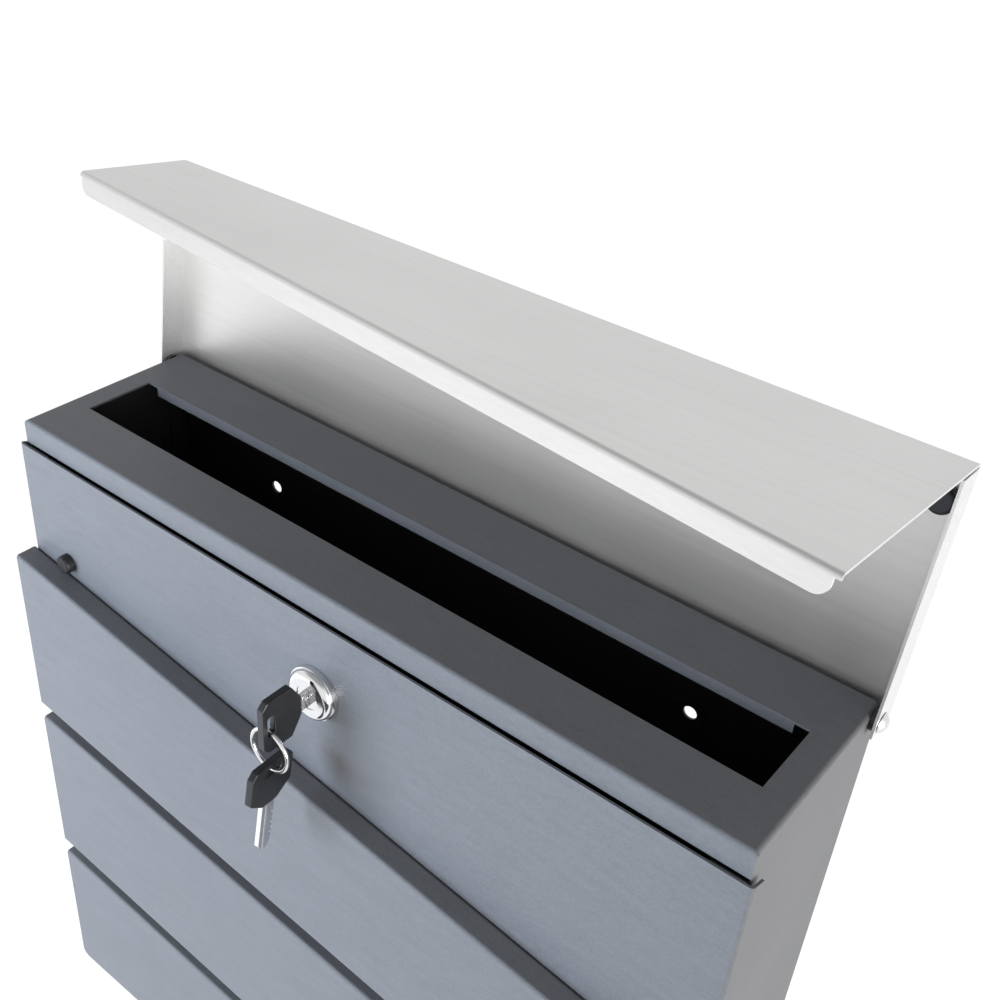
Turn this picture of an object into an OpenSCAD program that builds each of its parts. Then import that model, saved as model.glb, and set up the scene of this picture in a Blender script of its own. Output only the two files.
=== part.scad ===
// Wall mounted mailbox: folded sheet steel box with a letter slot in its top face, a stainless
// hinged rain lid, and a fold-down front door that carries three slanting slats and a cam lock.
// Frame: +X right, +Y into the wall, +Z up. Origin: centre of the wall screw pattern, on the wall face.
// The lid is drawn standing open, the door shut, the key in its lock and the spare key on the ring.

/* [Body] */
// Width over the side walls
body_w = 364; // [300:1:440]
// Height from the floor to the top face
body_h = 363; // [300:1:440]
// Depth from the wall face to the front strip
body_d = 89; // [74:1:120]
// Thickness of the body sheet
sheet = 1.0; // [0.8:0.1:1.2]
// Outer radius of the body's bends
bend_r = 1.8; // [1.5:0.1:3]
// Height of the front strip above the door
strip_h = 12; // [9:0.5:13]
// Length of the catch lip that the cam hooks behind
catch_h = 15; // [12:1:20]
// Width of the flanges beside the door opening
jamb_w = 14; // [10:1:18]
// Height of the flanges that stiffen the floor and the back
stiffener_h = 10; // [8:1:12]

/* [Letter slot] */
// Length of the letter slot
slot_l = 340; // [240:1:346]
// Width of the letter slot, front to back
slot_w = 34.2; // [25:0.1:38]
// Distance from the front strip to the slot
slot_set = 25.8; // [20:0.1:30]
// Depth of the folded slot lips
slot_lip = 5.2; // [4:0.1:7]
// Distance from the slot's end to the end of its lips
slot_lip_end = 6; // [4:0.5:10]

/* [Wall screws] */
// Distance between the screw holes, left to right
screw_pitch_x = 230; // [180:1:280]
// Distance between the screw holes, top to bottom
screw_pitch_z = 250; // [180:1:290]
// Distance from the top face down to the upper screw holes
screw_drop = 47; // [30:1:60]
// Diameter of a screw hole
screw_hole_d = 6; // [4:0.5:8]
// Diameter of the raised ring around a screw hole
screw_ring_d = 14; // [12:0.5:18]

/* [Lid] */
// Thickness of the lid sheet
lid_sheet = 1.0; // [0.8:0.1:1.2]
// Gap between the body side and the lid's side flange
lid_gap = 2.0; // [1.5:0.1:3]
// Depth of the lid's side flanges, from the plate's outer face
lid_flange = 14; // [10:0.5:16]
// Outer radius of the fold between the plate and the apron
lid_fold_r = 2.0; // [1.6:0.1:2.8]
// Angle that the open lid stands at, from its flat position
lid_open = 96.7; // [92:0.1:98]
// Distance from the lid pivot to the fold, along the plate
lid_reach = 98.3; // [96:0.1:125]
// Depth of the apron at its left end
apron_left = 59.3; // [45:0.1:80]
// Depth of the apron at its right end
apron_right = 109.1; // [80:0.1:125]
// Angle by which the fold is wider than square
apron_splay = 1.9; // [0:0.1:3]
// Depth of the lip along the apron's free edge
apron_lip = 9; // [8:0.5:12]
// Corner radius of the lip
lip_corner_r = 5; // [2:0.5:5]
// Height of the lid pivot below the top face
lid_pivot_drop = 4.2; // [4:0.1:6]
// Distance from the wall face to the lid pivot
lid_pivot_set = 4.2; // [4:0.1:6]
// Gap between the swinging plate and the body's upper rear edge
lid_swing_gap = 1.4; // [0.3:0.1:2]
// Length of plate behind the pivot
lid_tail = 4.4; // [3.4:0.1:4.8]
// Diameter of a lid buffer
lid_buffer_d = 10; // [8:0.5:12]
// Height of a lid buffer
lid_buffer_h = 5; // [3:0.5:7]
// Distance from the fold to the middle of a lid buffer
lid_buffer_set = 15; // [12:0.5:20]

/* [Door] */
// Thickness of the door sheet
door_sheet = 1.0; // [0.8:0.1:1.2]
// Gap between the body front and the door sheet
door_gap = 1.3; // [1.2:0.1:2]
// Gap between the body side and the door's side flange
door_side_gap = 1.5; // [1.2:0.1:2.4]
// Distance from the top face down to the door's top edge
door_drop = 12; // [10.5:0.5:15]
// Depth of the door's side flanges
door_flange = 8; // [6:0.5:11]
// Outer radius of the door's bends
door_bend_r = 1.6; // [1.3:0.1:2.2]
// Distance of the door pivot behind the body front
door_pivot_set = 9; // [8.5:0.1:10.5]
// Height of the door pivot above the floor
door_pivot_rise = 4.2; // [4:0.1:4.4]
// Diameter of a door buffer
door_buffer_d = 9; // [7:0.5:11]
// Height of a door buffer
door_buffer_h = 4.5; // [3:0.5:6]
// Distance from the body side to a door buffer
door_buffer_inset = 23.6; // [15:0.2:40]
// Height of a door buffer above the upper slat's top edge
door_buffer_rise = 7; // [6:0.5:9]

/* [Slats] */
// How far the slats stand out from the door sheet
slat_stand = 11.1; // [8:0.1:12]
// Distance from the top face down to the upper slat, at its left end
slat_drop_1 = 68.9; // [66:0.1:75]
// Slope of the upper slat's top edge, falling to the right
slat_slope_1 = 7.65; // [4:0.05:8]
// Distance from the top face down to the middle slat, at its left end
slat_drop_2 = 171.6; // [160:0.1:185]
// Slope of the middle slat's top edge
slat_slope_2 = 5.45; // [3:0.05:6]
// Distance from the top face down to the lower slat, at its left end
slat_drop_3 = 273.4; // [262:0.1:285]
// Slope of the lower slat's top edge
slat_slope_3 = 4.35; // [2:0.05:5]
// Gap between a slat's bottom edge and the next slat
slat_gap = 10.3; // [6:0.1:13]
// Height of the tab that fixes a slat to the door
slat_tab = 12; // [8:1:16]
// Radius of the lowest slat's lower corners
slat_corner_r = 5; // [2:0.5:8]

/* [Lock] */
// Distance from the top face down to the lock's axis
lock_drop = 46.4; // [42:0.1:50]
// Diameter of the lock's rosette
rosette_d = 24; // [20:0.5:27]
// Height of the rosette in front of the door
rosette_h = 5.2; // [4:0.2:7]
// Diameter of the lock's threaded barrel
barrel_d = 17; // [15:0.5:20]
// Distance across the flats of the barrel
barrel_flats = 15; // [13.5:0.5:18]
// Diameter of the turning plug
plug_d = 11; // [10:0.5:11.5]
// Radial clearance of the plug in its barrel
plug_fit = 0.05; // [0.02:0.01:0.1]
// Distance across the flats of the lock nut
nut_flats = 24; // [20:0.5:26]
// Thickness of the lock nut
nut_h = 4; // [3:0.5:5]
// Thickness of the cam
cam_t = 1.5; // [1:0.1:2]
// Distance from the lock's axis to the cam's tip
cam_l = 31; // [26:0.5:34]
// Width of the cam
cam_w = 14; // [12:0.5:16]

/* [Keys] */
// Width of a key's plastic head, across the blade
head_w = 25; // [20:0.5:28]
// Length of a key's plastic head, along the blade
head_l = 20; // [16:0.5:24]
// Thickness of a key's plastic head
head_t = 3.2; // [2.8:0.1:4]
// Gap between the rosette and the inserted key's head
head_gap = 4.3; // [1:0.1:6]
// Length of a key's bare blade
blade_l = 24; // [20:0.5:26]
// Width of a key's blade
blade_w = 7.6; // [6:0.1:8]
// Thickness of a key's blade
blade_t = 2.0; // [1.6:0.1:2.4]
// Radius of the key ring, to the middle of its wire
ring_r = 9.5; // [8:0.5:14]
// Thickness of the key ring's wire
ring_wire = 1.8; // [1.4:0.1:2]
// Gap between the hanging ring and the key heads it runs through
hang_gap = 0.4; // [0.3:0.1:0.8]
// Angle that the spare key hangs turned from the key in the lock
spare_turn = -8; // [-30:1:30]
// Angle that the spare key leans forward on the ring
spare_lean = 9; // [0:1:20]

/* [Rivets] */
// Diameter of a pivot rivet's shank
rivet_d = 4; // [3.6:0.1:5]
// Radial clearance of a hole that turns on a rivet
rivet_fit = 0.06; // [0.02:0.01:0.1]
// Diameter of a rivet's domed head
rivet_head_d = 8; // [7:0.5:9]
// Height of a rivet's domed head
rivet_head_h = 2.2; // [1.5:0.1:2.5]

/* [Hidden] */
$fn = 64;

steel = "#6f7279";
inox = "#c9c9c8";
chrome = "#d8d8da";
black = "#1c1c1e";

// Clearance between faces that are fixed together
seat = 0.05;
// Length that a cutting shape runs past the sheet
past = 1;

top_z = screw_drop + screw_pitch_z / 2;
floor_z = top_z - body_h;
front_y = -body_d;
side_x = body_w / 2;

door_front_y = front_y - door_gap - door_sheet;
door_x = side_x + door_side_gap + door_sheet;
door_top_z = top_z - door_drop;
slat_front_y = door_front_y - slat_stand;

lid_x = side_x + lid_gap + lid_sheet;
lid_plate_gap = norm([lid_pivot_set, lid_pivot_drop]) + lid_swing_gap;
lid_pivot_y = -lid_pivot_set;
lid_pivot_z = top_z - lid_pivot_drop;
door_pivot_y = front_y + door_pivot_set;
door_pivot_z = floor_z + door_pivot_rise;
rivet_tail_d = rivet_d + 1.4;
rivet_tail_h = 1.2;

ear_r = rivet_d / 2 + 2.7;

lock_z = top_z - lock_drop;
rosette_y = door_front_y - rosette_h;
key_head_y = rosette_y - head_gap;
// The keyway ends just past the key's tip, and the barrel a little further on
keyway_end_y = key_head_y + blade_l + 0.4;
barrel_end_y = keyway_end_y + 2.1;
cam_y = barrel_end_y + 0.5;
tang_end_y = cam_y + cam_t + 0.4;
// The catch lip hangs just in front of the cam
channel_d = barrel_end_y - front_y - 0.2;

// Key ring slot in a key head: its length across, its width along the blade, and the wall outside it
ring_slot_l = 10;
ring_slot_w = 3.6;
ring_slot_wall = 2.4;
slot_mid_y = key_head_y - head_l + ring_slot_wall + ring_slot_w / 2;
// The ring hangs in the key's slot, and the spare key hangs on the ring
ring_top_z = lock_z - ring_slot_l / 2 + ring_wire / 2 + hang_gap;
ring_mid_z = ring_top_z - ring_r;
spare_hang_z = ring_top_z - 2 * ring_r;
spare_top_z = spare_hang_z + ring_wire / 2 + hang_gap + ring_slot_wall;

// Height of a slanting line at x, for a line that starts drop below the top face at the door's left edge
function slant_z(drop, slope, x) = top_z - drop - (x + door_x) * tan(slope);

// ---------- shared shapes ----------

// Quarter ring of outer radius r and thickness t, in the +x +y quarter
module quarter(r, t) {
    intersection() {
        difference() {
            circle(r);
            circle(r - t);
        }
        square(r + past);
    }
}

// Extrudes a shape drawn in x and z from y0 to y1
module along_y(y0, y1) {
    translate([0, y1, 0])
        rotate([90, 0, 0])
            linear_extrude(y1 - y0)
                children();
}

// Extrudes a shape drawn in y and z from x0 to x1
module along_x(x0, x1) {
    translate([x0, 0, 0])
        rotate([90, 0, 90])
            linear_extrude(x1 - x0)
                children();
}

// Rectangle between two corners
module rect(x0, y0, x1, y1) {
    translate([x0, y0])
        square([x1 - x0, y1 - y0]);
}

// Rod along X from x0 to x1
module rod_x(d, x0, x1) {
    translate([x0, 0, 0])
        rotate([0, 90, 0])
            cylinder(d = d, h = x1 - x0);
}

// Rod along Y from y0 to y1
module rod_y(d, y0, y1) {
    translate([0, y0, 0])
        rotate([-90, 0, 0])
            cylinder(d = d, h = y1 - y0);
}

// ---------- body ----------

// Body outline in x and z, inset from the outside, with its upper corners rounded
module body_outline(inset) {
    r = bend_r - inset;
    rect(-side_x + inset, floor_z, side_x - inset, top_z - bend_r);
    rect(-side_x + bend_r, top_z - bend_r - past, side_x - bend_r, top_z - inset);
    for (s = [-1, 1])
        translate([s * (side_x - bend_r), top_z - bend_r])
            circle(r);
}

// Front strip, its channel and the catch lip, in y and z
module strip_profile() {
    translate([front_y + bend_r, top_z - bend_r])
        mirror([1, 0])
            quarter(bend_r, sheet);
    rect(front_y, top_z - strip_h + sheet, front_y + sheet, top_z - bend_r);
    translate([front_y + sheet, top_z - strip_h + sheet])
        mirror([1, 0])
            mirror([0, 1])
                quarter(sheet, sheet);
    rect(front_y + sheet, top_z - strip_h, front_y + channel_d, top_z - strip_h + sheet);
    rect(front_y + channel_d - sheet, top_z - strip_h - catch_h, front_y + channel_d, top_z - strip_h + sheet);
}

// Side wall's front fold and jamb flange, in x and y, for the right side
module jamb_profile() {
    translate([side_x - bend_r, front_y + bend_r])
        mirror([0, 1])
            quarter(bend_r, sheet);
    rect(side_x - jamb_w, front_y, side_x - bend_r, front_y + sheet);
}

module body_hood() {
    slot_y = front_y + slot_set;
    lip_x = slot_l / 2 - slot_lip_end;
    jamb_top = top_z - strip_h - 1.5;
    color(steel)
        difference() {
            union() {
                along_y(front_y + bend_r, 0)
                    difference() {
                        body_outline(0);
                        body_outline(sheet);
                        rect(-side_x + sheet, floor_z - past, side_x - sheet, floor_z + bend_r);
                    }
                along_y(front_y + sheet, front_y + bend_r)
                    difference() {
                        rect(-side_x, jamb_top, side_x, top_z - bend_r);
                        rect(-side_x + sheet, jamb_top - past, side_x - sheet, top_z);
                    }
                intersection() {
                    along_x(-side_x, side_x)
                        strip_profile();
                    along_y(front_y - past, front_y + channel_d + past)
                        body_outline(0);
                }
                for (s = [0, 1])
                    mirror([s, 0, 0])
                        translate([0, 0, floor_z])
                            linear_extrude(jamb_top - floor_z)
                                jamb_profile();
                // lips folded down along the slot's long edges
                along_x(-lip_x, lip_x) {
                    rect(slot_y - sheet, top_z - slot_lip, slot_y, top_z - sheet / 2);
                    rect(slot_y + slot_w, top_z - slot_lip, slot_y + slot_w + sheet, top_z - sheet / 2);
                }
            }
            translate([-slot_l / 2, slot_y, top_z - sheet - past])
                cube([slot_l, slot_w, sheet + 2 * past]);
            for (s = [-1, 1])
                translate([s * side_x, 0, 0]) {
                    translate([0, lid_pivot_y, lid_pivot_z])
                        rod_x(rivet_d + 2 * seat, -2 * sheet, 2 * sheet);
                    translate([0, door_pivot_y, door_pivot_z])
                        rod_x(rivet_d + 2 * seat, -2 * sheet, 2 * sheet);
                }
            // room for the lid rivets' tails beside the bend
            for (s = [0, 1])
                mirror([s, 0, 0])
                    translate([side_x - sheet, lid_pivot_y, lid_pivot_z])
                        rod_x(rivet_tail_d + 0.4, -2 * rivet_tail_h, 0);
        }
}

module back_panel() {
    x = side_x - sheet - seat;
    z1 = top_z - sheet - seat;
    z0 = floor_z + sheet + seat;
    ear = lid_pivot_drop + rivet_tail_d;
    color(steel)
        difference() {
            union() {
                difference() {
                    translate([-x, -stiffener_h, z0])
                        cube([2 * x, stiffener_h, z1 - z0]);
                    translate([-x + sheet, -stiffener_h - past, z0 + sheet])
                        cube([2 * (x - sheet), stiffener_h - sheet + past, z1 - z0 - 2 * sheet]);
                    for (s = [-1, 1]) {
                        translate([s * side_x, -stiffener_h / 2 - sheet, top_z])
                            cube([4 * (sheet + rivet_tail_h), stiffener_h, 2 * ear], center = true);
                        translate([s * side_x, 0, top_z])
                            cube([2 * bend_r, 4 * sheet, 2 * bend_r], center = true);
                    }
                }
                for (sx = [-1, 1])
                    for (sz = [-1, 1])
                        translate([sx * screw_pitch_x / 2, 0, sz * screw_pitch_z / 2])
                            rod_y(screw_ring_d, -sheet - 0.6, -sheet / 2);
            }
            for (sx = [-1, 1])
                for (sz = [-1, 1])
                    translate([sx * screw_pitch_x / 2, 0, sz * screw_pitch_z / 2]) {
                        rod_y(screw_hole_d, -sheet - past, past);
                        rod_y(screw_ring_d - 3, -sheet - past, -sheet);
                    }
        }
}

module floor_plate() {
    x = side_x - sheet - seat;
    y0 = front_y + sheet + seat;
    y1 = -sheet - seat;
    clear_y = door_pivot_y + rivet_tail_d;
    color(steel)
        difference() {
            translate([-x, y0, floor_z])
                cube([2 * x, y1 - y0, stiffener_h]);
            translate([-x + sheet, y0 + sheet, floor_z + sheet])
                cube([2 * (x - sheet), y1 - y0, stiffener_h]);
            for (s = [-1, 1]) {
                translate([s * side_x, (y0 + clear_y) / 2 + sheet, floor_z + sheet + stiffener_h / 2])
                    cube([4 * (sheet + rivet_tail_h), clear_y - y0, stiffener_h], center = true);
                translate([s * side_x, front_y, floor_z])
                    cube([2 * bend_r, 2 * bend_r, 4 * stiffener_h], center = true);
            }
            translate([-side_x, -stiffener_h - seat, floor_z + sheet])
                cube([2 * side_x, stiffener_h + sheet, stiffener_h]);
        }
}

// ---------- pivots ----------

// Domed rivet through the body side, with its head outside. reach is from the body side to the head.
module pivot_rivet(reach) {
    head_r = rivet_head_d / 2;
    dome_r = (head_r * head_r + rivet_head_h * rivet_head_h) / (2 * rivet_head_h);
    tail_x = -sheet - seat;
    rod_x(rivet_d, tail_x, reach);
    rod_x(rivet_tail_d, tail_x - rivet_tail_h, tail_x);
    translate([reach, 0, 0])
        rotate([0, 90, 0])
            rotate_extrude()
                intersection() {
                    translate([0, rivet_head_h - dome_r])
                        circle(dome_r, $fn = 96);
                    rect(0, 0, rivet_head_d, rivet_head_h + past);
                }
}

// Ring between the body side and a side flange
module pivot_washer(t, d) {
    difference() {
        rod_x(d, seat, t - seat);
        rod_x(rivet_d + 2 * rivet_fit, -past, t + past);
    }
}

module place_lid_pivot(side) {
    mirror([side < 0 ? 1 : 0, 0, 0])
        translate([side_x, lid_pivot_y, lid_pivot_z])
            children();
}

module place_door_pivot(side) {
    mirror([side < 0 ? 1 : 0, 0, 0])
        translate([side_x, door_pivot_y, door_pivot_z])
            children();
}

module lid_rivet(side) {
    color(chrome)
        place_lid_pivot(side)
            pivot_rivet(lid_gap + lid_sheet + 0.3);
}

module door_rivet(side) {
    color(chrome)
        place_door_pivot(side)
            pivot_rivet(door_side_gap + door_sheet + 0.3);
}

module lid_washer(side) {
    color(black)
        place_lid_pivot(side)
            pivot_washer(lid_gap, rivet_head_d + 0.4);
}

module door_washer(side) {
    color(black)
        place_door_pivot(side)
            pivot_washer(door_side_gap, rivet_head_d + 0.4);
}

// ---------- lid ----------

// Puts a lid piece, drawn flat with its pivot at the origin and the apron hanging at -y, into its open place
module place_lid() {
    translate([0, lid_pivot_y, lid_pivot_z])
        rotate([-lid_open, 0, 0])
            children();
}

// Flange with a rounded ear around the pivot, in y and z
module lid_flange_profile() {
    top = lid_plate_gap + lid_sheet;
    difference() {
        union() {
            rect(-lid_reach + lid_fold_r, top - lid_flange, lid_tail, top);
            circle(r = ear_r);
        }
        circle(r = rivet_d / 2 + rivet_fit);
    }
}

// Plate, fold and a long apron, in y and z
module lid_profile() {
    fold_y = -lid_reach + lid_fold_r;
    fold_z = lid_plate_gap + lid_sheet - lid_fold_r;
    rect(fold_y, lid_plate_gap, lid_tail, lid_plate_gap + lid_sheet);
    translate([fold_y, fold_z]) {
        difference() {
            circle(lid_fold_r);
            circle(lid_fold_r - lid_sheet);
            polygon([[0, 2 * lid_fold_r], [0, 0], [-2 * lid_fold_r, -2 * lid_fold_r * tan(apron_splay)],
                     [-2 * lid_fold_r, -2 * lid_fold_r], [2 * lid_fold_r, -2 * lid_fold_r],
                     [2 * lid_fold_r, 2 * lid_fold_r]]);
        }
        rotate(-apron_splay)
            rect(-lid_fold_r, -2 * apron_right, -lid_fold_r + lid_sheet, 0);
    }
}

// Places a shape in the apron's own frame: x along the lid, z down its outer face at y = 0 from the fold's end
module in_apron_frame() {
    translate([0, -lid_reach + lid_fold_r, lid_plate_gap + lid_sheet - lid_fold_r])
        rotate([-apron_splay, 0, 0])
            translate([0, -lid_fold_r, 0])
                children();
}

module lid_shell() {
    color(inox)
        place_lid() {
            difference() {
                union() {
                    along_x(-lid_x, lid_x)
                        lid_profile();
                    for (s = [0, 1])
                        mirror([s, 0, 0])
                            along_x(lid_x - lid_sheet, lid_x)
                                lid_flange_profile();
                }
                // the apron ends where its slanting lower fold begins
                in_apron_edge_frame()
                    translate([-2 * lid_x, -past, -4 * apron_right])
                        cube([4 * lid_x, 2 * past + lid_sheet, 4 * apron_right]);
            }
            intersection() {
                in_apron_edge_frame()
                    apron_lip_fold();
                translate([-lid_x, -2 * lid_reach, -2 * apron_right])
                    cube([2 * lid_x, 4 * lid_reach, 4 * apron_right]);
            }
        }
}

// Places a shape where the apron's flat part ends: x along its slanting edge, y inwards, z up the apron
module in_apron_edge_frame() {
    slope = atan((apron_right - apron_left) / (2 * lid_x));
    in_apron_frame()
        translate([0, 0, 2 * lid_fold_r - (apron_left + apron_right) / 2])
            rotate([0, slope, 0])
                children();
}

// Fold along the apron's free edge, and the lip with its rounded free corners
module apron_lip_fold() {
    r = lid_fold_r;
    x = lid_x - 0.2;
    c = lip_corner_r;
    along_x(-2 * lid_x, 2 * lid_x) {
        rect(0, 0, lid_sheet, 1);
        translate([r, 0])
            mirror([1, 0])
                mirror([0, 1])
                    quarter(r, lid_sheet);
    }
    translate([0, 0, -r])
        linear_extrude(lid_sheet) {
            rect(-x, r, x, apron_lip - c);
            rect(-x + c, r, x - c, apron_lip);
            for (s = [-1, 1])
                translate([s * (x - c), apron_lip - c])
                    intersection() {
                        circle(c);
                        rect(-c, 0, c, c);
                    }
        }
}

module lid_buffer(side) {
    color(black)
        place_lid()
            translate([side * (lid_x - lid_sheet - lid_buffer_d / 2 - 1), -lid_reach + lid_buffer_set,
                       lid_plate_gap - seat - lid_buffer_h])
                rotate_extrude()
                    difference() {
                        union() {
                            rect(0, 0, lid_buffer_d / 2 - 1.5, lid_buffer_h);
                            rect(0, 1.5, lid_buffer_d / 2, lid_buffer_h);
                            translate([lid_buffer_d / 2 - 1.5, 1.5])
                                circle(1.5);
                        }
                        rect(-2 * lid_buffer_d, -past, 0, lid_buffer_h + past);
                    }
}

// ---------- door ----------

// Door sheet with its side flanges, in x and y
module door_section() {
    r = door_bend_r;
    flange_y = door_front_y + door_flange;
    rect(-door_x + r, door_front_y, door_x - r, door_front_y + door_sheet);
    for (s = [0, 1])
        mirror([s, 0]) {
            translate([door_x - r, door_front_y + r])
                mirror([0, 1])
                    quarter(r, door_sheet);
            rect(door_x - door_sheet, door_front_y + r, door_x, flange_y);
        }
}

module door_panel() {
    flange_y = door_front_y + door_flange;
    color(steel)
        difference() {
            union() {
                translate([0, 0, floor_z])
                    linear_extrude(door_top_z - floor_z)
                        door_section();
                for (s = [0, 1])
                    mirror([s, 0, 0])
                        translate([door_x - door_sheet, 0, 0])
                            along_x(0, door_sheet) {
                                translate([door_pivot_y, door_pivot_z])
                                    circle(ear_r);
                                rect(door_front_y + door_bend_r, door_pivot_z - ear_r, door_pivot_y,
                                     door_pivot_z + ear_r);
                            }
            }
            // the flanges' upper ends slope down to the back
            for (s = [-1, 1])
                translate([s * door_x, 0, 0])
                    along_x(-2 * door_sheet, 2 * door_sheet)
                        polygon([[door_front_y + door_bend_r, door_top_z + past],
                                 [door_front_y + door_bend_r, door_top_z],
                                 [flange_y + past, door_top_z - 3],
                                 [flange_y + past, door_top_z + past]]);
            // the ears end level with the floor
            translate([-2 * door_x, door_front_y, floor_z - 2 * ear_r])
                cube([4 * door_x, body_d, 2 * ear_r]);
            for (s = [-1, 1])
                translate([s * door_x, door_pivot_y, door_pivot_z])
                    rod_x(rivet_d + 2 * rivet_fit, -2 * door_sheet, 2 * door_sheet);
            lock_hole();
            for (s = [-1, 1])
                translate([s * (side_x - door_buffer_inset), 0, buffer_z(s)])
                    rod_y(3 + 2 * seat, door_front_y - past, front_y);
        }
}

// Hole in the door for the lock's flatted barrel
module lock_hole() {
    translate([0, 0, lock_z])
        intersection() {
            rod_y(barrel_d + 2 * seat, door_front_y - past, front_y);
            translate([0, (door_front_y + front_y) / 2, 0])
                cube([barrel_flats + 2 * seat, body_d, 2 * barrel_d], center = true);
        }
}

function buffer_z(side) = slant_z(slat_drop_1, slat_slope_1, side * (side_x - door_buffer_inset)) + door_buffer_rise;

// Slat with a folded top flange and a tab on the door. It starts at drop with slope, and ends above the next.
module slat(drop, slope, next_drop, next_slope) {
    r = door_bend_r;
    depth = slat_stand;
    color(steel)
        intersection() {
            translate([-door_x, 0, top_z - drop])
                rotate([0, slope, 0])
                    along_x(-door_x / 2, 3 * door_x) {
                        rect(slat_front_y, -2 * body_h, slat_front_y + door_sheet, -r);
                        translate([slat_front_y + r, -r])
                            mirror([1, 0])
                                quarter(r, door_sheet);
                        rect(slat_front_y + r, -door_sheet, door_front_y - seat - r, 0);
                        translate([door_front_y - seat - r, -r])
                            quarter(r, door_sheet);
                        rect(door_front_y - seat - door_sheet, -slat_tab, door_front_y - seat, -r);
                    }
            along_y(slat_front_y - past, door_front_y)
                polygon([[-door_x, top_z],
                         [-door_x, slant_z(next_drop, next_slope, -door_x) + slat_gap],
                         [door_x, slant_z(next_drop, next_slope, door_x) + slat_gap],
                         [door_x, top_z]]);
        }
}

module slat_upper() slat(slat_drop_1, slat_slope_1, slat_drop_2, slat_slope_2);
module slat_middle() slat(slat_drop_2, slat_slope_2, slat_drop_3, slat_slope_3);

module slat_lower() {
    r = slat_corner_r;
    difference() {
        slat(slat_drop_3, slat_slope_3, body_h + slat_gap, 0);
        color(steel)
            for (s = [-1, 1])
                along_y(slat_front_y - past, slat_front_y + door_sheet + past)
                    translate([s * (door_x - r), floor_z + r])
                        difference() {
                            rect(s < 0 ? -2 * r : 0, -2 * r, s < 0 ? 0 : 2 * r, 0);
                            circle(r);
                        }
    }
}

module door_buffer(side) {
    color(black)
        translate([side * (side_x - door_buffer_inset), door_front_y - seat, buffer_z(side)]) {
            rotate([90, 0, 0])
                rotate_extrude()
                    difference() {
                        union() {
                            rect(0, 0, door_buffer_d / 2, door_buffer_h - 1.5);
                            rect(0, 0, door_buffer_d / 2 - 1.5, door_buffer_h);
                            translate([door_buffer_d / 2 - 1.5, door_buffer_h - 1.5])
                                circle(1.5);
                        }
                        rect(-2 * door_buffer_d, -past, 0, door_buffer_h + past);
                    }
            rod_y(3, -past, door_sheet + seat);
        }
}

// ---------- lock ----------

module lock_housing() {
    color(chrome)
        translate([0, 0, lock_z])
            difference() {
                union() {
                    // domed rosette, revolved about the lock's axis
                    translate([0, door_front_y - seat, 0])
                        rotate([90, 0, 0])
                            rotate_extrude()
                                rosette_profile();
                    intersection() {
                        rod_y(barrel_d, door_front_y - seat, barrel_end_y);
                        translate([0, barrel_end_y, 0])
                            cube([barrel_flats, body_d, 2 * barrel_d], center = true);
                    }
                }
                rod_y(plug_d + 2 * plug_fit, rosette_y - past, barrel_end_y + past);
            }
}

// Rosette outline: radius across, height up, with a thin rim, a domed face and a flat middle
module rosette_profile() {
    r = rosette_d / 2;
    rim = 2.2;
    flat_r = r - 3.4;
    rise = rosette_h - rim;
    run = r - flat_r - 0.6;
    dome_r = (run * run + rise * rise) / (2 * rise);
    rect(plug_d / 2, 0, r, rim);
    rect(plug_d / 2, 0, flat_r, rosette_h);
    intersection() {
        translate([flat_r, rosette_h - dome_r])
            circle(dome_r, $fn = 128);
        rect(flat_r - seat, 0, r, rosette_h + past);
    }
}

module lock_nut() {
    color(chrome)
        translate([0, front_y - door_gap + seat, lock_z])
            difference() {
                rotate([-90, 0, 0])
                    cylinder(d = nut_flats / cos(30), h = nut_h, $fn = 6);
                rod_y(barrel_d + 2 * seat, -past, nut_h + past);
            }
}

module lock_plug() {
    color(chrome)
        translate([0, 0, lock_z])
            difference() {
                union() {
                    rod_y(plug_d, rosette_y + 0.4, barrel_end_y + seat);
                    intersection() {
                        rod_y(plug_d - 2, barrel_end_y, tang_end_y);
                        translate([0, cam_y, 0])
                            cube([plug_d - 4, 4 * cam_t, plug_d], center = true);
                    }
                }
                translate([-blade_t / 2 - 0.1, rosette_y - past, -blade_w / 2 - 0.1])
                    cube([blade_t + 0.2, keyway_end_y - rosette_y + past, blade_w + 0.2]);
                rod_y(4, barrel_end_y - 1.5, tang_end_y + past);
            }
}

module lock_cam() {
    color(chrome)
        translate([0, cam_y, lock_z])
            difference() {
                union() {
                    rod_y(cam_w + 2, 0, cam_t);
                    translate([-cam_l + cam_w / 2, 0, -cam_w / 2])
                        cube([cam_l - cam_w / 2, cam_t, cam_w]);
                    translate([-cam_l + cam_w / 2, 0, 0])
                        rod_y(cam_w, 0, cam_t);
                }
                intersection() {
                    rod_y(plug_d - 2 + 2 * seat, -past, cam_t + past);
                    cube([plug_d - 4 + 2 * seat, 4 * cam_t, plug_d], center = true);
                }
            }
}

module cam_bolt() {
    head_y = tang_end_y + seat;
    color(chrome)
        translate([0, 0, lock_z]) {
            rod_y(4 - 2 * seat, barrel_end_y - 1, head_y + past);
            translate([0, head_y, 0])
                rotate([-90, 0, 0])
                    cylinder(d = 8.1, h = 2.6, $fn = 6);
            rod_y(11, head_y, head_y + 0.8);
        }
}

// ---------- keys ----------

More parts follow.
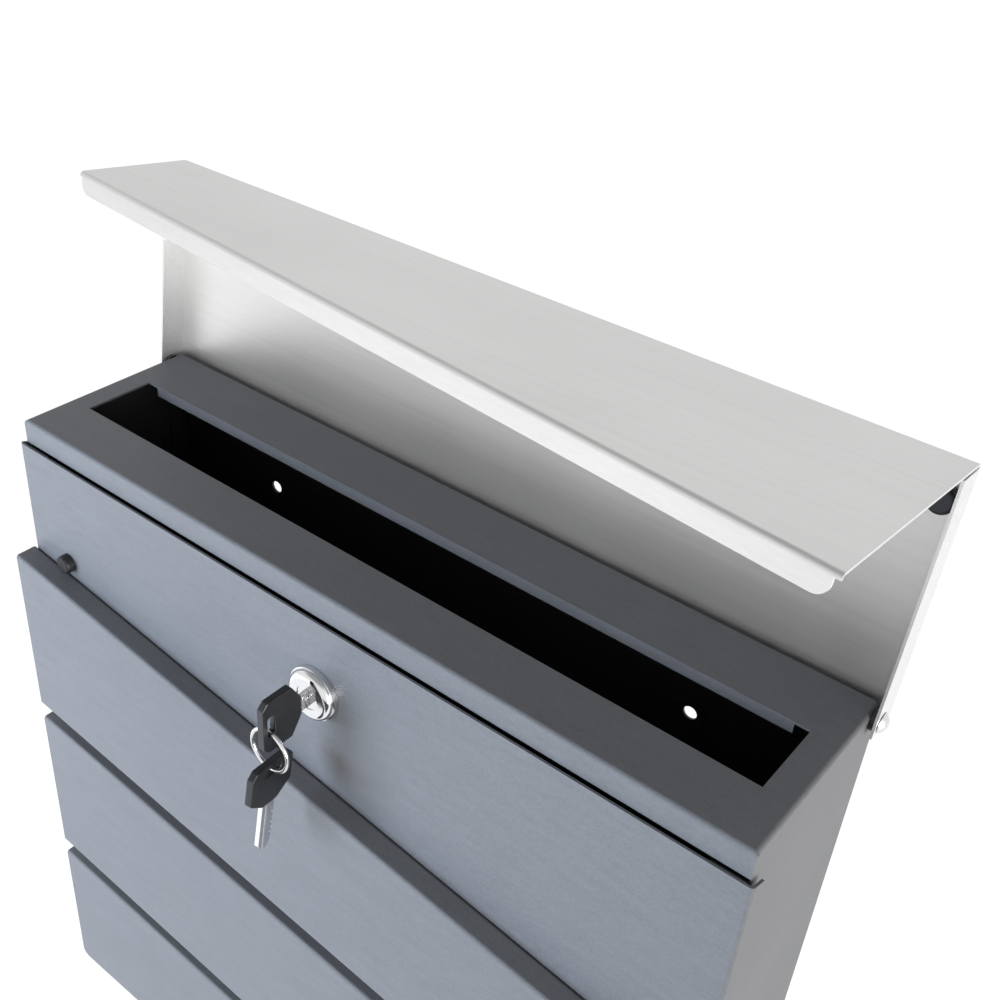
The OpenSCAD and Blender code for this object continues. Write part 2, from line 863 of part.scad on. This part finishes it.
// A key lies in x and y with its blade along +y, the head's near edge at y = 0, and its thickness along z
module key_head_shape() {
    hw = head_w / 2;
    neck = blade_w / 2 + 0.8;
    cut = head_w / 5;
    corner = head_w / 10;
    difference() {
        translate([0, 0, -head_t / 2])
            linear_extrude(head_t)
                difference() {
                    polygon([[-hw + corner, -head_l], [hw - corner, -head_l], [hw, -head_l + corner],
                             [hw, -cut], [neck, 0], [-neck, 0], [-hw, -cut], [-hw, -head_l + corner]]);
                    translate([0, -head_l + ring_slot_wall + ring_slot_w / 2]) {
                        square([ring_slot_l - ring_slot_w, ring_slot_w], center = true);
                        for (s = [-1, 1])
                            translate([s * (ring_slot_l - ring_slot_w) / 2, 0])
                                circle(d = ring_slot_w);
                    }
                }
        cube([blade_w + 2 * seat, 10, blade_t + 2 * seat], center = true);
    }
}

// Blade with a stepped edge, from 5 mm inside the head to its pointed tip
module key_blade_shape() {
    hw = blade_w / 2;
    steps = [0.0, 1.3, 0.5, 1.7, 0.9, 1.5, 0.4];
    pitch = (blade_l - 6) / len(steps);
    difference() {
        translate([0, 0, -blade_t / 2])
            linear_extrude(blade_t)
                difference() {
                    polygon([[-hw, -4.9], [hw, -4.9], [hw, blade_l - 3], [hw - 2.4, blade_l],
                             [-hw + 2.4, blade_l], [-hw, blade_l - 3]]);
                    for (i = [0 : len(steps) - 1])
                        translate([hw - steps[i], 4 + i * pitch])
                            square([blade_w, pitch * 0.72]);
                }
        for (s = [-1, 1])
            translate([-1.2, blade_l / 2 + 2, s * blade_t / 2])
                cube([1.0, blade_l + 1, 0.7], center = true);
    }
}

// The inserted key stands on edge: its width along z, its thickness along x
module place_key() {
    translate([0, key_head_y, lock_z])
        rotate([0, 90, 0])
            children();
}

// The spare key hangs from the ring, its blade pointing down
module place_spare() {
    translate([0, slot_mid_y, spare_hang_z])
        rotate([-spare_lean, 0, 0])
            translate([0, 0, spare_top_z - spare_hang_z - head_l])
                rotate([0, 0, 90 - spare_turn])
                    rotate([-90, 0, 0])
                        children();
}

module key_head() color(black) place_key() key_head_shape();
module key_blade() color(chrome) place_key() key_blade_shape();
module spare_key_head() color(black) place_spare() key_head_shape();
module spare_key_blade() color(chrome) place_spare() key_blade_shape();

module key_ring() {
    color(chrome)
        translate([0, slot_mid_y, ring_mid_z])
            rotate([90, 0, 0])
                rotate_extrude($fn = 96)
                    translate([ring_r, 0])
                        circle(d = ring_wire);
}

body_hood();
back_panel();
floor_plate();
lid_rivet(-1);  // lid_rivet_left
lid_rivet(1);  // lid_rivet_right
lid_washer(-1);  // lid_washer_left
lid_washer(1);  // lid_washer_right
door_rivet(-1);  // door_rivet_left
door_rivet(1);  // door_rivet_right
door_washer(-1);  // door_washer_left
door_washer(1);  // door_washer_right
lid_shell();
lid_buffer(-1);  // lid_buffer_left
lid_buffer(1);  // lid_buffer_right
door_panel();
slat_upper();
slat_middle();
slat_lower();
door_buffer(-1);  // door_buffer_left
door_buffer(1);  // door_buffer_right
lock_housing();
lock_nut();
lock_plug();
lock_cam();
cam_bolt();
key_blade();
key_head();
key_ring();
spare_key_blade();
spare_key_head();
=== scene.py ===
"""Finishes and stage for a wall mounted mailbox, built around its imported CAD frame."""

import math

import bpy
from bpy.props import FloatProperty, FloatVectorProperty, PointerProperty
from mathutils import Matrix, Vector


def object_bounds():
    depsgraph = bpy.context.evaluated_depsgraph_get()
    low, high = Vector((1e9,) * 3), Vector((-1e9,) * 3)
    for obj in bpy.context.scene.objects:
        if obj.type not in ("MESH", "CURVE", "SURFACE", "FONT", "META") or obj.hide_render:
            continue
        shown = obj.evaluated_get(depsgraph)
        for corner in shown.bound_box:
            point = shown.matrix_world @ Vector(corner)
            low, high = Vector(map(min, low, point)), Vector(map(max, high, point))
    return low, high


bl_info = {
    "name": "Wall mailbox finishes",
    "version": (1, 0, 0),
    "blender": (4, 5, 0),
    "location": "View3D > Sidebar > Mailbox",
    "description": "Gives a folded steel wall mailbox its finishes, edges, stage and camera",
    "category": "Object",
}

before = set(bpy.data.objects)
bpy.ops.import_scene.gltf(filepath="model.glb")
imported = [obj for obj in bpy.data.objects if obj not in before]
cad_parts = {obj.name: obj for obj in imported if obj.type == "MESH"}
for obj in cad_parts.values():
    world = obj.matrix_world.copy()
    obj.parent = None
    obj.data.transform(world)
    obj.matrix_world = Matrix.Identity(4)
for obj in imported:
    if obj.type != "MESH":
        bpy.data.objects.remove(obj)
CAD_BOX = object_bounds()
MM = 0.001

COATED_NODES = (
    "body_hood", "back_panel", "floor_plate", "door_panel", "slat_upper", "slat_middle", "slat_lower",
)
RIVET_NODES = ("lid_rivet_left", "lid_rivet_right", "door_rivet_left", "door_rivet_right")
WASHER_NODES = ("lid_washer_left", "lid_washer_right", "door_washer_left", "door_washer_right")
BUFFER_NODES = ("lid_buffer_left", "lid_buffer_right", "door_buffer_left", "door_buffer_right")
KEY_HEAD_NODES = ("key_head", "spare_key_head")
KEY_BLADE_NODES = ("key_blade", "spare_key_blade")

# Planes just within the hood's side walls and front, and just below the slot's lips: they bound the painted
# shade on the box's inner faces
INNER_SIDE = 181.5 * MM
INNER_FRONT = -88.5 * MM
INNER_TOP = 165.5 * MM

# Edge rounding of the small stamped and moulded parts
STAMPED_EDGE = 0.2 * MM
KEY_BLADE_EDGE = 0.12 * MM
KEY_HEAD_EDGE = 0.6 * MM
WELD_REACH = 0.000002

# Bump depths, in metres
COAT_GRAIN_DEPTH = 0.0001
BRUSHED_DEPTH = 0.000012
FLOOR_GRAIN_DEPTH = 0.0001

FLOOR_HALF_WIDTH = 6.0
CARD_LIFT = 0.002

SENSOR_WIDTH = 36.0
CAMERA_SHIFT = 0.05
CAMERA_PLACE = (0.26285, -0.35495, 0.46808)
CAMERA_TURN_DEGREES = (55.96, -2.928, 39.557)


# ---------- node trees ----------


class Tree:
    """Adds and links nodes in one node tree, laid out from left to right."""

    def __init__(self, tree):
        self.tree = tree
        self.column = 0

    def add(self, kind, settings=None, **values):
        """A node of that kind. Settings go on the node, and values on its inputs.

        An input is named with _ for each space, or by its number as _0, _1. A socket is linked to it.
        """
        node = self.tree.nodes.new(kind)
        node.location = (self.column * 220, 0)
        self.column += 1
        for name, value in (settings or {}).items():
            setattr(node, name, value)
        for name, value in values.items():
            key = int(name[1:]) if name[0] == "_" else name.replace("_", " ")
            socket = node.inputs[key]
            if isinstance(value, bpy.types.NodeSocket):
                self.tree.links.new(value, socket)
            else:
                socket.default_value = value
        return node

    def math(self, operation, a, b=0.0):
        return self.add("ShaderNodeMath", {"operation": operation}, _0=a, _1=b).outputs[0]

    def noise(self, vector, scale, detail=2.0, roughness=0.5):
        node = self.add("ShaderNodeTexNoise", Vector=vector, Scale=scale, Detail=detail, Roughness=roughness)
        return node.outputs["Fac"]

    def spread(self, value, low, high):
        """A 0 to 1 mask turned into the range from low to high."""
        return self.add("ShaderNodeMapRange", _0=value, _1=0.0, _2=1.0, _3=low, _4=high).outputs[0]

    def tint(self, mask, dark, light):
        """A colour between two, chosen by a mask. Either may be a colour or a colour socket."""
        node = self.add("ShaderNodeMix", {"data_type": "RGBA"})
        self.tree.links.new(mask, node.inputs["Factor"])
        for socket, value in zip(node.inputs[6:8], (dark, light)):
            if isinstance(value, bpy.types.NodeSocket):
                self.tree.links.new(value, socket)
            else:
                socket.default_value = (*value, 1.0)
        return node.outputs[2]


def shader_group(name, inputs, outputs, build):
    """A shader node group with a Vector input and float inputs {name: default}.

    Its float outputs are what build returns, in order.
    """
    group = bpy.data.node_groups.new(name, "ShaderNodeTree")
    group.interface.new_socket("Vector", in_out="INPUT", socket_type="NodeSocketVector")
    for socket_name, default in inputs.items():
        socket = group.interface.new_socket(socket_name, in_out="INPUT", socket_type="NodeSocketFloat")
        socket.default_value = default
    for socket_name in outputs:
        group.interface.new_socket(socket_name, in_out="OUTPUT", socket_type="NodeSocketFloat")
    tree = Tree(group)
    entry = tree.add("NodeGroupInput")
    results = build(tree, entry.outputs)
    leave = tree.add("NodeGroupOutput")
    for socket_name, value in zip(outputs, results):
        group.links.new(value, leave.inputs[socket_name])
    return group


def build_grain(tree, entry):
    """Fine pebbled grain, with a slower unevenness under it."""
    fine = tree.noise(entry["Vector"], entry["Fineness"], 3.0, 0.6)
    slow = tree.noise(entry["Vector"], tree.math("MULTIPLY", entry["Fineness"], 0.02), 2.0)
    height = tree.math("ADD", fine, tree.math("MULTIPLY", slow, 0.6))
    return height, fine, slow


def build_streaks(tree, entry):
    """Long thin brush lines along X, in two lengths."""
    along, across = entry["Along"], entry["Across"]
    stretch = tree.add("ShaderNodeCombineXYZ", X=along, Y=across, Z=across).outputs[0]
    product = tree.add("ShaderNodeVectorMath", {"operation": "MULTIPLY"}, _0=entry["Vector"], _1=stretch)
    lines = product.outputs[0]
    fine = tree.noise(lines, 1.0, 3.0, 0.65)
    coarse = tree.noise(lines, 0.22, 2.0)
    height = tree.math("ADD", fine, tree.math("MULTIPLY", coarse, 0.5))
    return height, tree.math("MULTIPLY", tree.math("ADD", fine, coarse), 0.5)


def build_smudges(tree, entry):
    """Soft patches where hands and weather have dulled a surface."""
    patch = tree.noise(entry["Vector"], entry["Size"], 4.0, 0.55)
    return (tree.add("ShaderNodeMapRange", _0=patch, _1=0.42, _2=0.7, _3=0.0, _4=1.0).outputs[0],)


def shared_groups():
    """The effects that several finishes use, made once."""
    if "Grain" not in bpy.data.node_groups:
        shader_group("Grain", {"Fineness": 1500.0}, ("Height", "Speckle", "Drift"), build_grain)
        shader_group("Brush Streaks", {"Along": 25.0, "Across": 2500.0}, ("Height", "Streak"), build_streaks)
        shader_group("Smudges", {"Size": 14.0}, ("Mask",), build_smudges)
    return bpy.data.node_groups


def start_material(name):
    """An empty material with its tree, object coordinates and Principled shader."""
    material = bpy.data.materials.new(name)
    material.use_nodes = True
    material.node_tree.nodes.clear()
    tree = Tree(material.node_tree)
    coords = tree.add("ShaderNodeTexCoord").outputs["Object"]
    return material, tree, coords


def close_material(material, tree, height, depth, color, roughness, **fixed):
    """Puts bump, colour and roughness on a Principled shader and links it to the output."""
    bump = tree.add("ShaderNodeBump", Strength=1.0, Distance=depth, Height=height)
    shader = tree.add("ShaderNodeBsdfPrincipled", Base_Color=color, Roughness=roughness,
                      Normal=bump.outputs[0])
    for name, value in fixed.items():
        shader.inputs[name.replace("_", " ")].default_value = value
    tree.add("ShaderNodeOutputMaterial", Surface=shader.outputs[0])
    return material


def group_node(tree, name, coords, **values):
    return tree.add("ShaderNodeGroup", {"node_tree": shared_groups()[name]}, Vector=coords, **values)


def scaled(color, factor):
    return tuple(min(1.0, c * factor) for c in color)


def painted_shade_mask(tree, coords, side, front, top):
    """1 within the hood's walls and below the slot's lips, and 0 elsewhere; it marks where the coat is
    darkened as painted shade.

    That takes in the outer faces of the back panel and floor plate as well as the inner ones.
    """
    place = tree.add("ShaderNodeSeparateXYZ", Vector=coords).outputs
    between_sides = tree.math("LESS_THAN", tree.math("ABSOLUTE", place["X"]), side)
    behind_front = tree.math("GREATER_THAN", place["Y"], front)
    under_top = tree.math("LESS_THAN", place["Z"], top)
    return tree.math("MULTIPLY", between_sides, tree.math("MULTIPLY", behind_front, under_top))


def powder_coat(color, name, inside):
    """Matt anthracite powder coat over brushed sheet: fine grain with faint lines under it, darkened within
    the box as painted shade.
    """
    material, tree, coords = start_material(name)
    grain = group_node(tree, "Grain", coords, Fineness=950.0)
    lines = group_node(tree, "Brush Streaks", coords, Along=220.0, Across=1300.0)
    marks = group_node(tree, "Smudges", coords, Size=9.0)
    shade = tree.math("ADD", tree.math("MULTIPLY", grain.outputs["Speckle"], 0.55),
                      tree.math("MULTIPLY", lines.outputs["Streak"], 0.45))
    tint = tree.tint(shade, scaled(color, 0.55), scaled(color, 1.45))
    # Painted shade: within the box the coat is drawn at a fixed fraction of its colour, standing in for the
    # dark of the interior
    inner = painted_shade_mask(tree, coords, INNER_SIDE, INNER_FRONT, INNER_TOP)
    tint = tree.tint(inner, tint, scaled(color, inside))
    rough = tree.math("ADD", tree.spread(grain.outputs["Speckle"], 0.42, 0.54),
                      tree.math("MULTIPLY", marks.outputs["Mask"], 0.06))
    height = tree.math("ADD", grain.outputs["Height"], tree.math("MULTIPLY", lines.outputs["Height"], 0.5))
    return close_material(material, tree, height, COAT_GRAIN_DEPTH, tint, rough, Specular_IOR_Level=0.5)


def brushed_stainless(color, name, along, across, rough_low, rough_high):
    """Stainless sheet brushed along its length."""
    material, tree, coords = start_material(name)
    lines = group_node(tree, "Brush Streaks", coords, Along=along, Across=across)
    marks = group_node(tree, "Smudges", coords, Size=11.0)
    tint = tree.tint(lines.outputs["Streak"], scaled(color, 0.86), scaled(color, 1.14))
    rough = tree.math("ADD", tree.spread(lines.outputs["Streak"], rough_low, rough_high),
                      tree.math("MULTIPLY", marks.outputs["Mask"], 0.04))
    return close_material(material, tree, lines.outputs["Height"], BRUSHED_DEPTH, tint, rough, Metallic=1.0)


def polished_metal(color, name, rough_low, rough_high, depth):
    """Plated metal with faint haze and a fine grain."""
    material, tree, coords = start_material(name)
    grain = group_node(tree, "Grain", coords, Fineness=900.0)
    marks = group_node(tree, "Smudges", coords, Size=160.0)
    tint = tree.tint(grain.outputs["Drift"], scaled(color, 0.9), scaled(color, 1.08))
    wear = tree.math("ADD", marks.outputs["Mask"], grain.outputs["Speckle"])
    rough = tree.spread(tree.math("MULTIPLY", wear, 0.5), rough_low, rough_high)
    return close_material(material, tree, grain.outputs["Height"], depth, tint, rough, Metallic=1.0)


def moulded_black(color, name, fineness, rough_low, rough_high, depth):
    """Black plastic or rubber with a moulded grain."""
    material, tree, coords = start_material(name)
    grain = group_node(tree, "Grain", coords, Fineness=fineness)
    marks = group_node(tree, "Smudges", coords, Size=120.0)
    tint = tree.tint(grain.outputs["Speckle"], scaled(color, 0.7), scaled(color, 1.5))
    wear = tree.math("ADD", marks.outputs["Mask"], grain.outputs["Speckle"])
    rough = tree.spread(tree.math("MULTIPLY", wear, 0.5), rough_low, rough_high)
    return close_material(material, tree, grain.outputs["Height"], depth, tint, rough)


# ---------- surfaces ----------


def soften(obj, width, segments=2, angle=28.0):
    """Rounds a small part's sharp edges a little, as moulded and stamped edges are."""
    weld = obj.modifiers.new("weld", "WELD")
    weld.merge_threshold = WELD_REACH
    bevel = obj.modifiers.new("edge", "BEVEL")
    bevel.width = width
    bevel.segments = segments
    bevel.limit_method = "ANGLE"
    bevel.angle_limit = math.radians(angle)
    bevel.harden_normals = False
    normals = obj.modifiers.new("normals", "WEIGHTED_NORMAL")
    normals.weight = 90
    normals.keep_sharp = False


def finish_node(name, material, width=0.0, segments=2):
    """Gives a node its material. A width rounds its edges; without one it keeps its own surface."""
    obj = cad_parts[name]
    obj.data.materials.clear()
    obj.data.materials.append(material)
    if width > 0:
        soften(obj, width, segments)
    return obj


class MailboxFinish(bpy.types.PropertyGroup):
    coat: FloatVectorProperty(
        name="Powder coat", description="Colour of the coated steel",
        subtype="COLOR", size=3, min=0.0, max=1.0, default=(0.080, 0.081, 0.086))
    # How dark the painted shade on the box's inner panels is, as a fraction of the outer coat
    inside: FloatProperty(
        name="Inside", description="Brightness of the inner panels' coat against the outer one",
        min=0.0, max=1.0, default=0.12)
    stainless: FloatVectorProperty(
        name="Stainless", description="Colour of the lid's sheet",
        subtype="COLOR", size=3, min=0.0, max=1.0, default=(0.70, 0.70, 0.695))
    chrome: FloatVectorProperty(
        name="Chrome", description="Colour of the lock and ring",
        subtype="COLOR", size=3, min=0.0, max=1.0, default=(0.78, 0.78, 0.79))
    black: FloatVectorProperty(
        name="Black parts", description="Colour of key heads and buffers",
        subtype="COLOR", size=3, min=0.0, max=1.0, default=(0.006, 0.006, 0.007))


class MailboxStage(bpy.types.PropertyGroup):
    key_power: FloatProperty(
        name="Left light", description="Power of the bluish softbox at the front left",
        unit="POWER", min=0.0, default=54.0)
    low_power: FloatProperty(
        name="Low light", description="Power of the broad softbox low at the front left",
        unit="POWER", min=0.0, default=2.5)
    side_power: FloatProperty(
        name="Right light", description="Power of the softbox at the right",
        unit="POWER", min=0.0, default=62.0)
    surround: FloatProperty(
        name="Surround", description="Brightness of the surround at the horizon", min=0.0, default=1.0)
    zenith: FloatProperty(
        name="Zenith", description="Brightness of the surround overhead", min=0.0, default=0.4)
    lens: FloatProperty(
        name="Lens", description="Focal length", subtype="DISTANCE_CAMERA", min=10.0, default=45.98)
    floor_drop: FloatProperty(
        name="Floor drop", description="Floor distance under the box",
        subtype="DISTANCE", unit="LENGTH", min=0.0, default=0.45)


class MAILBOX_OT_coat(bpy.types.Operator):
    """Coat the folded steel of the body, door and slats"""

    bl_idname = "mailbox.coat"
    bl_label = "Coat the steel"

    def execute(self, context):
        finish = context.scene.mailbox_finish
        # The third argument sets how dark the painted shade within the box is
        material = powder_coat(finish.coat, "powder_coat", finish.inside)
        for name in COATED_NODES:
            finish_node(name, material)
        return {"FINISHED"}


class MAILBOX_OT_lid(bpy.types.Operator):
    """Brush the stainless lid and its pivot rivets"""

    bl_idname = "mailbox.lid"
    bl_label = "Brush the lid"

    def execute(self, context):
        finish = context.scene.mailbox_finish
        sheet = brushed_stainless(finish.stainless, "brushed_lid", along=14.0, across=2300.0,
                                  rough_low=0.38, rough_high=0.50)
        finish_node("lid_shell", sheet)
        rivet = polished_metal(scaled(finish.stainless, 1.05), "rivet_steel",
                               rough_low=0.16, rough_high=0.34, depth=0.00002)
        for name in RIVET_NODES:
            finish_node(name, rivet)
        return {"FINISHED"}


class MAILBOX_OT_buffers(bpy.types.Operator):
    """Give the buffers and washers their rubber and plastic"""

    bl_idname = "mailbox.buffers"
    bl_label = "Finish buffers and washers"

    def execute(self, context):
        finish = context.scene.mailbox_finish
        rubber = moulded_black(finish.black, "buffer_rubber", fineness=2600.0,
                               rough_low=0.38, rough_high=0.6, depth=0.00004)
        plastic = moulded_black(scaled(finish.black, 1.6), "washer_plastic", fineness=2200.0,
                                rough_low=0.3, rough_high=0.5, depth=0.00003)
        for name in BUFFER_NODES:
            finish_node(name, rubber)
        for name in WASHER_NODES:
            finish_node(name, plastic)
        return {"FINISHED"}


class MAILBOX_OT_lock(bpy.types.Operator):
    """Plate the cam lock's housing, nut, plug, cam and bolt"""

    bl_idname = "mailbox.lock"
    bl_label = "Plate the lock"

    def execute(self, context):
        finish = context.scene.mailbox_finish
        chrome = polished_metal(finish.chrome, "lock_chrome", rough_low=0.05, rough_high=0.2, depth=0.00001)
        zinc = polished_metal(scaled(finish.chrome, 0.7), "zinc_plate",
                              rough_low=0.28, rough_high=0.5, depth=0.00003)
        for name in ("lock_housing", "lock_plug"):
            finish_node(name, chrome)
        for name in ("lock_nut", "lock_cam", "cam_bolt"):
            finish_node(name, zinc, STAMPED_EDGE)
        return {"FINISHED"}


class MAILBOX_OT_keys(bpy.types.Operator):
    """Finish both keys and the ring that joins them"""

    bl_idname = "mailbox.keys"
    bl_label = "Finish the keys"

    def execute(self, context):
        finish = context.scene.mailbox_finish
        nickel = polished_metal(scaled(finish.chrome, 0.95), "key_nickel",
                                rough_low=0.12, rough_high=0.3, depth=0.00002)
        plastic = moulded_black(finish.black, "key_plastic", fineness=1800.0,
                                rough_low=0.32, rough_high=0.5, depth=0.00003)
        for name in KEY_BLADE_NODES:
            finish_node(name, nickel, KEY_BLADE_EDGE)
        finish_node("key_ring", nickel)
        for name in KEY_HEAD_NODES:
            finish_node(name, plastic, KEY_HEAD_EDGE, 3)
        return {"FINISHED"}


class MAILBOX_OT_stage(bpy.types.Operator):
    """Set the floor, lights, surround and camera"""

    bl_idname = "mailbox.stage"
    bl_label = "Set the stage"

    def execute(self, context):
        stage = context.scene.mailbox_stage
        floor_height = CAD_BOX[0].z - stage.floor_drop
        self.lay_floor(floor_height)
        self.lay_flag(floor_height + CARD_LIFT)
        left = self.hang_light("left_softbox", azimuth=-30.0, elevation=8.0, distance=1.3, size=0.8,
                               power=stage.key_power, color=(0.70, 0.83, 1.0))
        left.visible_glossy = False
        self.hang_light("low_softbox", azimuth=-45.0, elevation=-25.0, distance=1.2, size=1.2,
                        power=stage.low_power, color=(0.97, 0.985, 1.0))
        self.hang_light("right_softbox", azimuth=74.0, elevation=0.0, distance=2.2, size=1.0,
                        power=stage.side_power, color=(1.0, 1.0, 1.0))
        self.fill_surround(context.scene, stage.surround, stage.zenith)
        self.place_camera(context.scene, stage.lens)
        context.scene.view_settings.view_transform = "Standard"
        return {"FINISHED"}

    def lay_floor(self, height):
        """A wide floor of lit white acrylic under the box."""
        half = FLOOR_HALF_WIDTH
        mesh = bpy.data.meshes.new("floor")
        corners = [(-half, -half, height), (half, -half, height),
                   (half, half, height), (-half, half, height)]
        mesh.from_pydata(corners, [], [(0, 1, 2, 3)])
        floor = bpy.data.objects.new("floor", mesh)
        bpy.context.scene.collection.objects.link(floor)
        material, tree, coords = start_material("pale_floor")
        patch = tree.noise(coords, 3.0)
        tint = tree.tint(patch, (0.04, 0.04, 0.04), (0.06, 0.06, 0.06))
        close_material(material, tree, patch, FLOOR_GRAIN_DEPTH, tint, tree.spread(patch, 0.8, 0.9),
                       Emission_Strength=0.95, Emission_Color=(1.0, 1.0, 1.0, 1.0))
        mesh.materials.append(material)

    def lay_flag(self, height):
        """A dark card on the floor in front of the box, to the right, that the lid's inner face mirrors."""
        left, right, near, far = 0.1, 1.6, -2.2, -0.65
        mesh = bpy.data.meshes.new("dark_flag")
        corners = [(left, near, height), (right, near, height), (right, far, height), (left, far, height)]
        mesh.from_pydata(corners, [], [(0, 1, 2, 3)])
        flag = bpy.data.objects.new("dark_flag", mesh)
        bpy.context.scene.collection.objects.link(flag)
        material, tree, coords = start_material("dark_card")
        patch = tree.noise(coords, 5.0)
        tint = tree.tint(patch, (0.015, 0.015, 0.015), (0.03, 0.03, 0.03))
        close_material(material, tree, patch, FLOOR_GRAIN_DEPTH, tint, tree.spread(patch, 0.8, 0.9))
        mesh.materials.append(material)

    def hang_light(self, name, azimuth, elevation, distance, size, power, color):
        """A square softbox that faces the box, azimuth being turned from the front to the right."""
        light = bpy.data.lights.new(name, "AREA")
        light.size = size
        light.energy = power
        light.color = color
        lamp = bpy.data.objects.new(name, light)
        turn, rise = math.radians(azimuth), math.radians(elevation)
        away = Vector((math.sin(turn) * math.cos(rise), -math.cos(turn) * math.cos(rise), math.sin(rise)))
        lamp.location = away * distance
        lamp.rotation_euler = away.to_track_quat("Z", "Y").to_euler()
        bpy.context.scene.collection.objects.link(lamp)
        return lamp

    def fill_surround(self, scene, horizon, zenith):
        """A pale surround that is bright near the horizon and darker overhead."""
        world = bpy.data.worlds.new("pale_surround")
        world.use_nodes = True
        world.node_tree.nodes.clear()
        tree = Tree(world.node_tree)
        direction = tree.add("ShaderNodeTexCoord").outputs["Generated"]
        height = tree.add("ShaderNodeSeparateXYZ", Vector=direction).outputs["Z"]
        strength = tree.add("ShaderNodeMapRange", {"interpolation_type": "SMOOTHSTEP"},
                            _0=height, _1=0.45, _2=0.85, _3=horizon, _4=zenith).outputs[0]
        background = tree.add("ShaderNodeBackground", Color=(1.0, 1.0, 1.0, 1.0), Strength=strength)
        tree.add("ShaderNodeOutputWorld", Surface=background.outputs[0])
        scene.world = world

    def place_camera(self, scene, lens):
        camera = bpy.data.objects.new("camera", bpy.data.cameras.new("camera"))
        camera.data.sensor_width = SENSOR_WIDTH
        camera.data.lens = lens
        camera.data.shift_x = CAMERA_SHIFT
        camera.location = CAMERA_PLACE
        camera.rotation_euler = tuple(math.radians(turn) for turn in CAMERA_TURN_DEGREES)
        scene.collection.objects.link(camera)
        scene.camera = camera


class MAILBOX_PT_panel(bpy.types.Panel):
    """Lists the steps that finish the mailbox"""

    bl_idname = "MAILBOX_PT_panel"
    bl_label = "Mailbox"
    bl_space_type = "VIEW_3D"
    bl_region_type = "UI"
    bl_category = "Mailbox"

    def draw(self, context):
        for group in (context.scene.mailbox_finish, context.scene.mailbox_stage):
            for name in group.__annotations__:
                self.layout.prop(group, name)
        for step in STEPS:
            self.layout.operator(step.bl_idname)


STEPS = (
    MAILBOX_OT_coat, MAILBOX_OT_lid, MAILBOX_OT_buffers,
    MAILBOX_OT_lock, MAILBOX_OT_keys, MAILBOX_OT_stage,
)
CLASSES = (MailboxFinish, MailboxStage, *STEPS, MAILBOX_PT_panel)


def register():
    for cls in CLASSES:
        bpy.utils.register_class(cls)
    bpy.types.Scene.mailbox_finish = PointerProperty(type=MailboxFinish)
    bpy.types.Scene.mailbox_stage = PointerProperty(type=MailboxStage)


def unregister():
    del bpy.types.Scene.mailbox_stage
    del bpy.types.Scene.mailbox_finish
    for cls in reversed(CLASSES):
        bpy.utils.unregister_class(cls)


def main():
    register()
    bpy.ops.mailbox.coat()
    bpy.ops.mailbox.lid()
    bpy.ops.mailbox.buffers()
    bpy.ops.mailbox.lock()
    bpy.ops.mailbox.keys()
    bpy.ops.mailbox.stage()
    bpy.context.view_layer.update()


if __name__ == "__main__":
    main()
